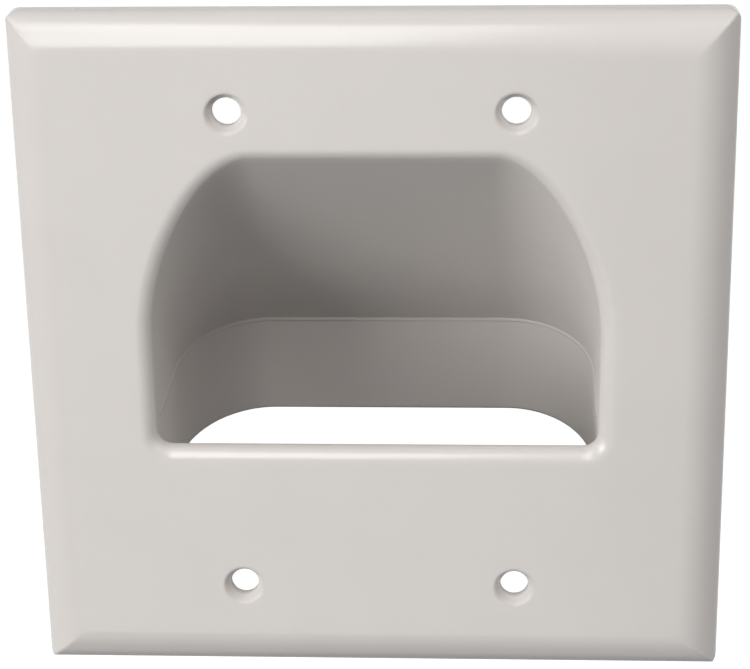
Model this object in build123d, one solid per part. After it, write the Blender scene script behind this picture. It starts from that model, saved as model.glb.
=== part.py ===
from build123d import *
import math
import os

# A recessed cable wall plate, moulded in one piece. It hangs on a wall whose surface is the plane
# Y = 0: the front face looks towards -Y, the hood reaches into the wall along +Y, and Z is up.
# The origin is the middle of the plate on the wall surface. All sizes are millimetres.

# Plate
plate_width = 115.9
plate_height = 115.4
plate_depth = 5.8          # wall surface to front face
plate_wall = 2.8           # thickness of the face and of the rim round it
plate_corner = 2.2         # outline corner seen from the front
bevel_width = 6.8          # outline to the edge of the flat face
side_height = 2.0          # square side of the rim
side_round = 3.0           # where the bevel turns into the side

# Screw holes, on the spacing of a two-gang wall box
screw_span_x = 46.04
screw_span_z = 83.34
screw_bore = 4.7
screw_sink = 6.6
screw_sink_depth = 1.6

# Mouth in the front face
mouth_width = 73.7
mouth_roof = 34.9          # height of the sloping roof where it would meet the face
mouth_sill = -16.4
mouth_corner_across = 17.5  # the mouth's two upper corners are about quarter ellipses
mouth_corner_drop = 29.8
sill_corner = 2.6
lip_round = 2.4            # rolled edge all round the mouth
lip_share = 0.88           # most of the face's thickness that the rolled edge may take

# Hood: a roof that slopes back and down to a crease, then an upright wall with an open bottom
throat_depth = 45.0        # wall surface to the inside of the upright back wall
crease_height = -12.0
hood_bottom = -30.4
hood_wall = 2.2
hood_root = 1.0            # fillet where the hood grows out of the plate
hood_edge = 0.7            # rounding of the bottom edge
corner_across = 15.3       # the hood's two back corners are quarter ellipses
corner_along = 25.5
seam_height = 0.6          # slanting step of the mould seam that follows the crease
seam_rise = 0.2

# Cutting bodies run this far past the faces they cut
overrun = 5.0

# Two places closer than this are the same place
TOUCH = 0.01

face_plane = -plate_depth
skin_plane = plate_wall - plate_depth
slope_run = throat_depth + plate_depth
slope_rise = mouth_roof - crease_height
slope = math.atan2(slope_rise, slope_run)
straight_top = mouth_roof - mouth_corner_drop

# The hood's corners are longer the higher they stand, so that their straight sides end at straight_top
# in the face. Heights are shares of the climb from the crease to the roof's edge in the face.
straight_share = (straight_top - crease_height) / slope_rise
roof_corner_along = (slope_run - corner_along) * (1 / straight_share - 1)


def bevel_section(span, foot):
    """Section across the plate: front upwards, a square side, then a bevel that rolls into the face."""
    half = span / 2
    face_edge = half - bevel_width
    bevel = TangentArc((face_edge, plate_depth), (half, side_height), tangent=(1, 0))
    outline = Polyline(
        (half, side_height),
        (half, -foot),
        (0, -foot),
        (0, plate_depth),
        (face_edge, plate_depth),
    )
    right = make_face([bevel, outline])
    shoulder = right.vertices().sort_by_distance((half, side_height))[0]
    right = fillet(shoulder, side_round)
    return right + mirror(right, Plane.YZ)


def mitred_form(across, upright):
    """Solid left where a section run along Z meets another run along X, mitred at its four corners."""
    along_x = Plane(origin=(0, 0, 0), x_dir=(0, 0, 1), z_dir=(1, 0, 0))
    along_z = Plane(origin=(0, 0, 0), x_dir=(1, 0, 0), z_dir=(0, 0, -1))
    form = extrude(along_x * upright, plate_width, both=True)
    return form & extrude(along_z * across, plate_height, both=True)


def hollow_section(span):
    """The bevel section drawn in by the wall, open at the wall surface."""
    return offset(bevel_section(span, plate_wall), -plate_wall, kind=Kind.INTERSECTION)


def hollow_plate():
    """Bevelled plate with rounded corners, hollow behind, so that only its rim meets the wall."""
    plate = mitred_form(bevel_section(plate_width, 0), bevel_section(plate_height, 0))
    plate &= extrude(Plane.XZ * RectangleRounded(plate_width, plate_height, plate_corner), plate_depth)
    pocket = mitred_form(hollow_section(plate_width), hollow_section(plate_height))
    return plate - pocket


def hood_plan(outset, front, climb=0):
    """Outline of the hood from above, grown by outset: straight sides, and back corners that open out
    as the roof climbs towards the face."""
    stretch = climb * (roof_corner_along - corner_along)
    half = mouth_width / 2 + outset
    back = throat_depth - climb * slope_run + outset
    across = corner_across + climb * (mouth_corner_across - corner_across) + outset
    along = corner_along + stretch + outset
    front -= climb * slope_run + stretch
    edges = [
        Line((-half, front), (-half, back - along)),
        EllipticalCenterArc((across - half, back - along), across, along, 90, arc_size=90),
        Line((across - half, back), (half - across, back)),
        EllipticalCenterArc((half - across, back - along), across, along, 0, arc_size=90),
        Line((half, back - along), (half, front)),
        Line((half, front), (-half, front)),
    ]
    return make_face(edges)


def crease(outset):
    """Height at which the roof, moved out by outset, meets the upright wall moved out as far."""
    return crease_height + outset * math.tan(math.pi / 4 - slope / 2)


def sloped_roof(outset, front):
    """The plan carried forwards and up along the slope of the roof, past the front face."""
    climb = 1 + 2 * overrun / slope_run
    foot = Pos(0, 0, crease(outset)) * hood_plan(outset, front)
    head = Pos(0, 0, crease(outset) + climb * slope_rise) * hood_plan(outset, front, climb)
    return loft([foot, head], ruled=True)


def upright_throat(outset, front, top, bottom):
    """The plan carried straight down."""
    plan = Pos(0, 0, top) * hood_plan(outset, front)
    return extrude(plan, top - bottom, dir=(0, 0, -1))


def hood_body():
    """Outside of the hood, from the middle of the face backwards."""
    front = (face_plane + skin_plane) / 2
    body = sloped_roof(hood_wall, front)
    body += upright_throat(hood_wall, front, crease(hood_wall), hood_bottom)
    behind_face = Pos(0, front, 0) * Box(
        plate_width,
        throat_depth + hood_wall - front,
        plate_height,
        align=(Align.CENTER, Align.MIN, Align.CENTER),
    )
    return body & behind_face


def sill_window():
    """Lower part of the mouth, from the sill halfway up its straight sides, through the face alone."""
    tall = (straight_top - mouth_sill) / 2
    window = Pos(0, mouth_sill + tall / 2) * Rectangle(mouth_width, tall)
    window = fillet(window.vertices().group_by(Axis.Y)[0], sill_corner)
    return extrude(Plane.XZ * window, plate_depth + overrun)


def mould_seam():
    """Space inside the fine slanting step left where the two cores of the mould met at the crease."""
    brim = Pos(0, 0, crease_height) * hood_plan(0, skin_plane)
    waist = Pos(0, 0, crease_height - seam_height) * hood_plan(-seam_rise, skin_plane)
    return loft([brim, waist], ruled=True)


def passage():
    """Everything the cables pass through: roof space, seam, throat and the lower part of the mouth."""
    space = sloped_roof(0, face_plane - overrun) + mould_seam()
    space += upright_throat(0, skin_plane, crease_height - seam_height, hood_bottom - overrun)
    return space + sill_window()


def screw_holes():
    """Four countersunk holes through the face."""
    sink = Cone(
        screw_bore / 2,
        screw_sink / 2,
        screw_sink_depth,
        align=(Align.CENTER, Align.CENTER, Align.MAX),
    )
    bore = Cylinder(
        screw_bore / 2,
        plate_depth + overrun,
        align=(Align.CENTER, Align.CENTER, Align.MAX),
    )
    front = Plane(origin=(0, face_plane, 0), x_dir=(1, 0, 0), z_dir=(0, -1, 0))
    return front * GridLocations(screw_span_x, screw_span_z, 2, 2) * (sink + bore)


def level(edges, axis, place):
    """Those edges that lie wholly at one place along an axis."""
    return edges.filter_by_position(axis, place - TOUCH, place + TOUCH)


def recessed_plate():
    """The whole moulding."""
    plate = hollow_plate()
    hood = hood_body()
    body = plate + hood
    root = new_edges(plate, hood, combined=body)
    body = fillet([edge for edge in root if edge.center().Z > hood_bottom + TOUCH], hood_root)

    space = passage()
    opened = body - space
    rim = level(new_edges(body, space, combined=opened), Axis.Z, hood_bottom)
    opened = fillet(rim, hood_edge)

    front = opened.faces().filter_by(Plane.XZ).sort_by(Axis.Y)[0]
    opened = fillet(front.inner_wires()[0].edges(), min(lip_round, lip_share * plate_wall))
    for hole in screw_holes():
        opened -= hole
    return opened


os.makedirs("parts", exist_ok=True)
export_step(recessed_plate(), "parts/recessed_wall_plate.step")
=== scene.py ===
import math

import bpy
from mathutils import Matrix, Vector

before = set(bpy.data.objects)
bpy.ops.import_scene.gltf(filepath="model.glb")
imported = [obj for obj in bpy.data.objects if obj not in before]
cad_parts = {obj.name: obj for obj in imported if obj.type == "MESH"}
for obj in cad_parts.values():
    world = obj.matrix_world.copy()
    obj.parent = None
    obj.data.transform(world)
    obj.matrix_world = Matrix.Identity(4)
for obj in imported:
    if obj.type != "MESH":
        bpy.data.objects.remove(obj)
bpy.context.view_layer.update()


# Wall plate with its hooded recess. The real one is a single injection moulding in light warm grey
# gloss plastic: a bevelled face, a mouth with a rolled lip, and the hood that turns cables down
# into the wall. Four countersunk holes take the screws that draw it against the wall.
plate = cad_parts["recessed_wall_plate"]
plastic_ior = 1.5
pigment_pale = (0.652, 0.617, 0.589, 1)
pigment_deep = (0.634, 0.600, 0.573, 1)
cloud_size = 0.014          # metres across one cloud of unevenly mixed pigment
cloud_detail = 3
speck_size = 0.0007         # the powder's own grain
speck_detail = 1
speck_share = 0.25          # how far a speck pulls the colour, against a cloud
noise_low = 0.3             # uneven values seldom leave this range
noise_high = 0.7
polish_size = 0.020         # patches where the mould's polish is finer or duller
polish_detail = 2
polish_fine = 0.13
polish_dull = 0.18
core_edge = -0.0054         # on the lip the plastic passes from the face's polish to the duller core
core_full = -0.0034
core_reach = 0.0520         # out to this distance from the plate's middle lines, short of the bevel
core_end = 0.0535
core_dull = 0.65
face_sheen = 0.5            # the matt grain of the core keeps less of the plastic's sheen
core_sheen = 0.1
edge_round = 0.0009         # no edge of a moulding comes out quite sharp
seam_round = 0.00045        # edges from the core, the mould seam among them, are crisper
edge_samples = 6
peel_size = 0.0014          # ripples that the setting plastic leaves in the gloss
peel_detail = 2
peel_height = 0.000004

plastic = bpy.data.materials.new("moulded_grey_plastic")
plastic.use_nodes = True
nodes = plastic.node_tree.nodes
links = plastic.node_tree.links
gloss = nodes["Principled BSDF"]
gloss.inputs["IOR"].default_value = plastic_ior
on_plate = nodes.new("ShaderNodeTexCoord").outputs["Object"]


def plastic_noise(size, detail):
    """Uneven value between 0 and 1 that changes over about that many metres of the plate."""
    noise = nodes.new("ShaderNodeTexNoise")
    noise.inputs["Scale"].default_value = 1 / size
    noise.inputs["Detail"].default_value = detail
    links.new(on_plate, noise.inputs["Vector"])
    return noise.outputs["Fac"]


# The pigment: clouds with a fine speck over them
specks = nodes.new("ShaderNodeMix")
specks.inputs["Factor"].default_value = speck_share
links.new(plastic_noise(cloud_size, cloud_detail), specks.inputs["A"])
links.new(plastic_noise(speck_size, speck_detail), specks.inputs["B"])
pigment = nodes.new("ShaderNodeValToRGB")
pigment.color_ramp.elements[0].position = noise_low
pigment.color_ramp.elements[0].color = pigment_deep
pigment.color_ramp.elements[1].position = noise_high
pigment.color_ramp.elements[1].color = pigment_pale
links.new(specks.outputs["Result"], pigment.inputs["Fac"])
links.new(pigment.outputs["Color"], gloss.inputs["Base Color"])

# Where the mould's duller core shaped the plastic: behind the lip, and within the bevel all round
place = nodes.new("ShaderNodeSeparateXYZ")
links.new(on_plate, place.inputs["Vector"])
past_lip = nodes.new("ShaderNodeMapRange")
past_lip.interpolation_type = "SMOOTHSTEP"
past_lip.inputs["From Min"].default_value = core_edge
past_lip.inputs["From Max"].default_value = core_full
links.new(place.outputs["Y"], past_lip.inputs["Value"])
either_side = nodes.new("ShaderNodeVectorMath")
either_side.operation = "ABSOLUTE"
links.new(on_plate, either_side.inputs[0])
out_from = nodes.new("ShaderNodeSeparateXYZ")
links.new(either_side.outputs["Vector"], out_from.inputs["Vector"])
farther = nodes.new("ShaderNodeMath")
farther.operation = "MAXIMUM"
links.new(out_from.outputs["X"], farther.inputs[0])
links.new(out_from.outputs["Z"], farther.inputs[1])
inside_bevel = nodes.new("ShaderNodeMapRange")
inside_bevel.inputs["From Min"].default_value = core_reach
inside_bevel.inputs["From Max"].default_value = core_end
inside_bevel.inputs["To Min"].default_value = 1.0
inside_bevel.inputs["To Max"].default_value = 0.0
links.new(farther.outputs["Value"], inside_bevel.inputs["Value"])
on_core = nodes.new("ShaderNodeMath")
on_core.operation = "MULTIPLY"
links.new(past_lip.outputs["Result"], on_core.inputs[0])
links.new(inside_bevel.outputs["Result"], on_core.inputs[1])


def face_to_core(face_value, core_value, socket):
    """Gives a socket one value on the face and another on the core, with a soft change between them."""
    change = nodes.new("ShaderNodeMix")
    change.inputs["A"].default_value = face_value
    change.inputs["B"].default_value = core_value
    links.new(on_core.outputs["Value"], change.inputs["Factor"])
    links.new(change.outputs["Result"], socket)
    return change


# The finish: an uneven polish on the face, and a dull one with little sheen on the core
polish = nodes.new("ShaderNodeMapRange")
polish.inputs["From Min"].default_value = noise_low
polish.inputs["From Max"].default_value = noise_high
polish.inputs["To Min"].default_value = polish_fine
polish.inputs["To Max"].default_value = polish_dull
links.new(plastic_noise(polish_size, polish_detail), polish.inputs["Value"])
finish = face_to_core(polish_fine, core_dull, gloss.inputs["Roughness"])
links.new(polish.outputs["Result"], finish.inputs["A"])
face_to_core(face_sheen, core_sheen, gloss.inputs["Specular IOR Level"])

# The skin: softened edges under a faint ripple
soft_edge = nodes.new("ShaderNodeBevel")
soft_edge.samples = edge_samples
face_to_core(edge_round, seam_round, soft_edge.inputs["Radius"])
peel = nodes.new("ShaderNodeBump")
peel.inputs["Strength"].default_value = 1.0
peel.inputs["Distance"].default_value = peel_height
links.new(plastic_noise(peel_size, peel_detail), peel.inputs["Height"])
links.new(soft_edge.outputs["Normal"], peel.inputs["Normal"])
links.new(peel.outputs["Normal"], gloss.inputs["Normal"])
plate.material_slots[0].material = plastic


# Studio floor: a pale sheet well below the plate, so the plate's soft shadow lands on it out of the
# picture. To the eye and the gloss it glows white, but the glow is turned down in a round patch where
# the plate's shadow falls: a painted shade pool over the real shadow, which the recess's gloss also
# reflects. It sends little light back up.
floor_drop = 0.75
floor_half = 6.0
floor_pale = (0.6, 0.6, 0.6, 1)
floor_dim = (0.12, 0.12, 0.12, 1)   # as the light finds it on its way back up to the plate
floor_white = (1, 1, 1, 1)
painted_shade_place = 0.60          # the plate's shadow falls this far behind it, and the painted shade is centred there
painted_shade_reach = 0.35          # from the middle of the painted shade to where the floor starts to whiten
white_reach = 0.60
painted_shade_glow = 0.25          # how much glow the floor keeps in the painted shade
bpy.ops.mesh.primitive_plane_add(size=2 * floor_half, location=(0, 0, -floor_drop))
floor = bpy.context.object
floor.name = "studio_floor"
floor_paint = bpy.data.materials.new("floor_white")
floor_paint.use_nodes = True
paint = floor_paint.node_tree.nodes
joins = floor_paint.node_tree.links
paint.remove(paint["Principled BSDF"])


def white_to_the_eye(tree_nodes, tree_links):
    """1 for rays that look at the surround, straight or through gloss or glass, and 0 for the rest."""
    path = tree_nodes.new("ShaderNodeLightPath")
    either = tree_nodes.new("ShaderNodeMath")
    either.operation = "MAXIMUM"
    tree_links.new(path.outputs["Is Camera Ray"], either.inputs[0])
    tree_links.new(path.outputs["Is Glossy Ray"], either.inputs[1])
    any_of = tree_nodes.new("ShaderNodeMath")
    any_of.operation = "MAXIMUM"
    tree_links.new(either.outputs["Value"], any_of.inputs[0])
    tree_links.new(path.outputs["Is Transmission Ray"], any_of.inputs[1])
    return any_of.outputs["Value"]


# Painted shade: the floor's white glow is turned down in a round patch where the plate's shadow falls
from_painted_shade = paint.new("ShaderNodeVectorMath")
from_painted_shade.operation = "DISTANCE"
from_painted_shade.inputs[1].default_value = (0, painted_shade_place, 0)
joins.new(paint.new("ShaderNodeTexCoord").outputs["Object"], from_painted_shade.inputs[0])
glow_outside_painted_shade = paint.new("ShaderNodeMapRange")
glow_outside_painted_shade.interpolation_type = "SMOOTHSTEP"
glow_outside_painted_shade.inputs["From Min"].default_value = painted_shade_reach
glow_outside_painted_shade.inputs["From Max"].default_value = white_reach
glow_outside_painted_shade.inputs["To Min"].default_value = painted_shade_glow
joins.new(from_painted_shade.outputs["Value"], glow_outside_painted_shade.inputs["Value"])
floor_glow = paint.new("ShaderNodeEmission")
floor_glow.inputs["Color"].default_value = floor_white
joins.new(glow_outside_painted_shade.outputs["Result"], floor_glow.inputs["Strength"])
floor_seen = paint.new("ShaderNodeBsdfDiffuse")
floor_seen.inputs["Color"].default_value = floor_pale
floor_shadowed = paint.new("ShaderNodeAddShader")
joins.new(floor_seen.outputs["BSDF"], floor_shadowed.inputs[0])
joins.new(floor_glow.outputs["Emission"], floor_shadowed.inputs[1])
floor_unseen = paint.new("ShaderNodeBsdfDiffuse")
floor_unseen.inputs["Color"].default_value = floor_dim
floor_either = paint.new("ShaderNodeMixShader")
joins.new(white_to_the_eye(paint, joins), floor_either.inputs["Fac"])
joins.new(floor_unseen.outputs["BSDF"], floor_either.inputs[1])
joins.new(floor_shadowed.outputs["Shader"], floor_either.inputs[2])
joins.new(floor_either.outputs["Shader"], paint["Material Output"].inputs["Surface"])
floor.data.materials.append(floor_paint)


# Surround: the white walls of the studio. They are white where they are looked at, and give the
# plate only a low even light from every side.
surround_white = (1, 1, 1, 1)
surround_seen = 1.0
surround_light = 0.01
world = bpy.data.worlds.new("studio_surround")
bpy.context.scene.world = world
world.use_nodes = True
sky = world.node_tree.nodes
ties = world.node_tree.links
ambient = sky["Background"]
ambient.inputs["Color"].default_value = surround_white
ambient.inputs["Strength"].default_value = surround_light
white = sky.new("ShaderNodeBackground")
white.inputs["Color"].default_value = surround_white
white.inputs["Strength"].default_value = surround_seen
sky_either = sky.new("ShaderNodeMixShader")
ties.new(white_to_the_eye(sky, ties), sky_either.inputs["Fac"])
ties.new(ambient.outputs["Background"], sky_either.inputs[1])
ties.new(white.outputs["Background"], sky_either.inputs[2])
ties.new(sky_either.outputs["Shader"], sky["World Output"].inputs["Surface"])


# Lamps: soft boxes on stands round the plate, two of them behind it. Each is given by the angles at
# which the plate sees it, left and right, up and down, and by how bright its cloth is against white.
lamp_reach = 1.2


def softbox(name, left, right, low, high, level):
    """A soft lamp that fills those angles, in degrees from straight ahead of the plate."""
    azimuth = math.radians((left + right) / 2)
    elevation = math.radians((low + high) / 2)
    away = Vector((
        math.sin(azimuth) * math.cos(elevation),
        -math.cos(azimuth) * math.cos(elevation),
        math.sin(elevation),
    ))
    lamp = bpy.data.lights.new(name, "AREA")
    lamp.shape = "RECTANGLE"
    lamp.size = 2 * lamp_reach * math.tan(math.radians(right - left) / 2) * math.cos(elevation)
    lamp.size_y = 2 * lamp_reach * math.tan(math.radians(high - low) / 2)
    lamp.energy = math.pi * lamp.size * lamp.size_y * level
    stand = bpy.data.objects.new(name, lamp)
    bpy.context.scene.collection.objects.link(stand)
    stand.location = lamp_reach * away
    stand.rotation_euler = away.to_track_quat("Z", "Y").to_euler()


softbox("key_softbox", -19, 0, 17, 62, 5.0)
softbox("left_softbox", -58, -32, -6, 15, 7.9)
softbox("far_left_softbox", -84, -58, -6, 24, 3.1)
softbox("upper_left_softbox", -60, -20, 42, 68, 3.6)
softbox("upper_right_softbox", 20, 60, 42, 68, 1.5)
softbox("right_softbox", 45, 85, 18, 42, 3.4)
softbox("front_softbox", 12, 40, -6, 17, 0.5)
softbox("low_softbox", -24, 4, -34, -6, 0.9)
softbox("back_left_softbox", -158, -122, 4, 24, 2.2)
softbox("back_right_softbox", 122, 158, 4, 24, 2.2)


# Camera on a stand before the plate, a little above it and to its right, with a long lens. It looks
# at the plate from the photograph's viewing angle.
camera_place = (0.020931, -0.366634, 0.1454)
camera_turn = (68.68837, 0.94106, 2.93438)      # degrees
camera_sensor = 36.0                            # millimetres, as the lens
camera_lens = 114.054
camera_data = bpy.data.cameras.new("photo_camera")
camera_data.sensor_width = camera_sensor
camera_data.lens = camera_lens
camera = bpy.data.objects.new("photo_camera", camera_data)
bpy.context.scene.collection.objects.link(camera)
camera.location = camera_place
camera.rotation_euler = tuple(math.radians(angle) for angle in camera_turn)
bpy.context.scene.camera = camera
bpy.context.scene.view_settings.view_transform = "Standard"
